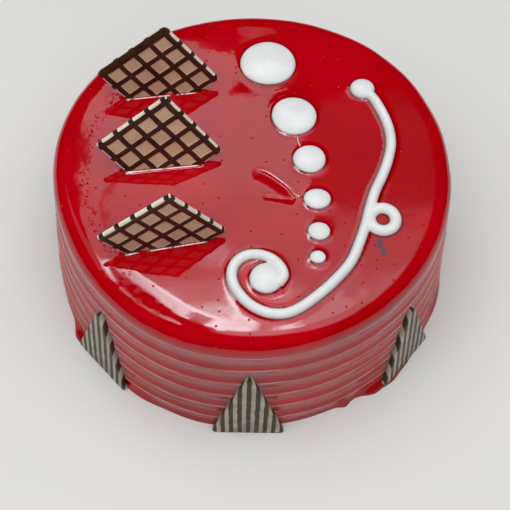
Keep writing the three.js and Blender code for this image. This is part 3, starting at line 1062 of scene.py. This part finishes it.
def make_triangles(material):
    points, faces = triangle_solid()
    lift = TRIANGLE_BACK * math.sin(math.radians(TRIANGLE_LEAN))
    for i, (azimuth, gap) in enumerate(TRIANGLES, 1):
        piece = mesh_object(f"striped_wedge_{i}", points * MM, faces)
        angle = math.radians(azimuth)
        foot = TRIANGLE_FOOT_RADIUS * float(outline_scale(angle - math.pi / 2)) + gap
        rotation = Matrix.Rotation(angle, 3, "Z") @ Matrix.Rotation(-math.radians(TRIANGLE_LEAN), 3, "X")
        piece.matrix_world = placing((foot * math.sin(angle), -foot * math.cos(angle), lift), rotation)
        piece.data.materials.append(material)
        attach(piece, "root")
        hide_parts(f"striped_triangle_{i}")
        piece.visible_glossy = False


# --- Stage, light and camera ---

def grown(nodes, value, base, growth):
    """A strength that grows by each edge that a coordinate passes."""
    return nodes.plus(base, *(nodes.times(nodes.ramp(value, *edge), rise) for edge, rise in growth))


def spot(nodes, x, y, middle_x, middle_y, reach_x, reach_y, strength):
    u = nodes.math("DIVIDE", nodes.minus(x, middle_x), reach_x)
    v = nodes.math("DIVIDE", nodes.minus(y, middle_y), reach_y)
    away = nodes.plus(nodes.times(u, u), nodes.times(v, v))
    return nodes.times(nodes.ramp(away, 1.0, 0.0), strength)


def bay_area(nodes, x, y):
    """1 on the pale bay and 0 beside it."""
    bay = nodes.ramp(x, *BAY_RIGHT)
    for x_edge, y_edge in BAY_STEPS:
        bay = nodes.math("MAXIMUM", bay, nodes.times(nodes.ramp(x, *x_edge), nodes.ramp(y, *y_edge)))
    return nodes.times(bay, nodes.ramp(x, *BAY_LEFT), nodes.ramp(y, *BAY_BACK),
                       nodes.ramp(nodes.minus(y, x), *BAY_CORNER))


def bay_light(nodes, x, y):
    """The bay's strength, with a dark seam in it."""
    seam = nodes.times(*(nodes.ramp(x, *edge) for edge in SEAM_X), *(nodes.ramp(y, *edge) for edge in SEAM_Y))
    return nodes.times(grown(nodes, y, BAY_BASE, BAY_GROWTH),
                       nodes.minus(1.0, nodes.times(seam, SEAM_DARKNESS)))


def side_light(nodes, x, y):
    (first_edge, first_rise), *growth = SIDE_GROWTH
    first = nodes.times(nodes.ramp(y, *first_edge), first_rise)
    return nodes.times(grown(nodes, y, first, growth), *(nodes.ramp(x, *edge) for edge in SIDE_X))


def strip_light(nodes, x, y):
    """The bright strip, whose back and front edges slant on the left."""
    back_slant, front_slant = (
        nodes.times(nodes.math("MINIMUM", nodes.plus(x, start), 0.0), slope)
        for start, slope in (STRIP_BACK_SLANT, STRIP_FRONT_SLANT))
    return nodes.times(nodes.ramp(nodes.plus(y, back_slant), *STRIP_BACK),
                       nodes.ramp(nodes.minus(y, front_slant), *STRIP_FRONT),
                       nodes.ramp(x, *STRIP_LEFT, STRIP_LEFT_SHARE, 1.0),
                       nodes.ramp(x, *STRIP_RIGHT), STRIP_STRENGTH)


def ceiling_material():
    """The studio ceiling as the glaze mirrors it: a pale bay, a soft right side and a bright strip."""
    nodes = Nodes("studio_ceiling")
    nodes.tree.nodes.remove(nodes.shader)
    x, y = (nodes.plus(nodes.axis(name), nodes.times(nodes.minus(nodes.noise(*pattern), 0.5), reach))
            for name, pattern, reach in zip("XY", CARD_NOISE, CARD_WANDER))

    bay = bay_area(nodes, x, y)
    light = nodes.plus(nodes.times(bay, bay_light(nodes, x, y)),
                       nodes.times(nodes.minus(1.0, bay), side_light(nodes, x, y)))
    front = nodes.plus(y, nodes.times(x, CARD_FRONT_SLANT))
    light = nodes.times(light, nodes.ramp(front, *CARD_FRONT_EDGE))
    spots = [spot(nodes, x, y, *place) for place in BRIGHT_SPOTS]
    light = nodes.plus(light, strip_light(nodes, x, y), *spots)
    light = nodes.times(light, nodes.minus(1.0, spot(nodes, x, y, *DARK_SPOT)))

    emission = nodes.new("Emission")
    emission.inputs["Color"].default_value = CEILING_WHITE
    nodes.put(emission.inputs["Strength"], light)
    nodes.put(nodes.tree.nodes["Material Output"].inputs["Surface"], emission.outputs[0])
    return nodes.material


def make_ceiling():
    """A bright card overhead that only shows in glossy surfaces."""
    (left, right), (front, back) = CARD_X, CARD_Y
    outline = [(left, front, CARD_Z), (right, front, CARD_Z), (right, back, CARD_Z), (left, back, CARD_Z)]
    card = mesh_object("ceiling_card", outline, [[0, 3, 2, 1]], smooth=False)
    card.location = Vector(AXIS)
    card.data.materials.append(ceiling_material())
    card.visible_camera = False
    card.visible_diffuse = False
    card.visible_shadow = False
    card.visible_transmission = False
    card.visible_volume_scatter = False


def make_stage():
    corners = [(right * FLOOR_REACH, back * FLOOR_REACH, 0)
               for right, back in ((-1, -1), (1, -1), (1, 1), (-1, 1))]
    floor = mesh_object("floor", corners, [[0, 1, 2, 3]])
    nodes = Nodes("pale_floor")
    color = nodes.mix(nodes.tones(3, 2), *FLOOR_WHITE)
    floor.data.materials.append(nodes.finish(Base_Color=color, Roughness=0.9))


def make_lights():
    world = bpy.data.worlds.new("soft_room")
    bpy.context.scene.world = world
    world.use_nodes = True
    background = world.node_tree.nodes["Background"]
    background.inputs["Color"].default_value = (1, 1, 1, 1)
    background.inputs["Strength"].default_value = ROOM_STRENGTH
    world.cycles_visibility.glossy = False
    key = bpy.data.lights.new("overhead_key", "AREA")
    key.shape = "RECTANGLE"
    key.size, key.size_y = KEY_SIZE
    key.energy = KEY_POWER
    lamp = bpy.data.objects.new("overhead_key", key)
    lamp.location = KEY_POINT
    lamp.rotation_euler = Vector(KEY_DIRECTION).to_track_quat("-Z", "Y").to_euler()
    lamp.visible_glossy = False
    bpy.context.scene.collection.objects.link(lamp)


def make_camera():
    elevation, azimuth, roll = map(math.radians, (CAMERA_ELEVATION, CAMERA_AZIMUTH, CAMERA_ROLL))
    back = Vector((math.sin(azimuth) * math.cos(elevation), -math.cos(azimuth) * math.cos(elevation),
                   math.sin(elevation)))
    right = Vector((math.cos(azimuth), math.sin(azimuth), 0))
    up = back.cross(right)
    tilted_right = right * math.cos(roll) + up * math.sin(roll)
    tilted_up = up * math.cos(roll) - right * math.sin(roll)
    data = bpy.data.cameras.new("camera")
    data.sensor_width = CAMERA_SENSOR
    data.lens = CAMERA_LENS
    camera = bpy.data.objects.new("camera", data)
    turn = Matrix((tilted_right, tilted_up, back)).transposed()
    camera.matrix_world = placing(CAMERA_POINT, turn)
    bpy.context.scene.collection.objects.link(camera)
    bpy.context.scene.camera = camera
    bpy.context.scene.view_settings.view_transform = "Standard"


make_camera()
make_lights()
make_stage()
make_ceiling()
make_cake(glaze_material())
cream = cream_material()
make_dots(cream)
make_thread(cream)
make_scroll(cream)
make_squares(lattice_material())
make_triangles(striped_material())
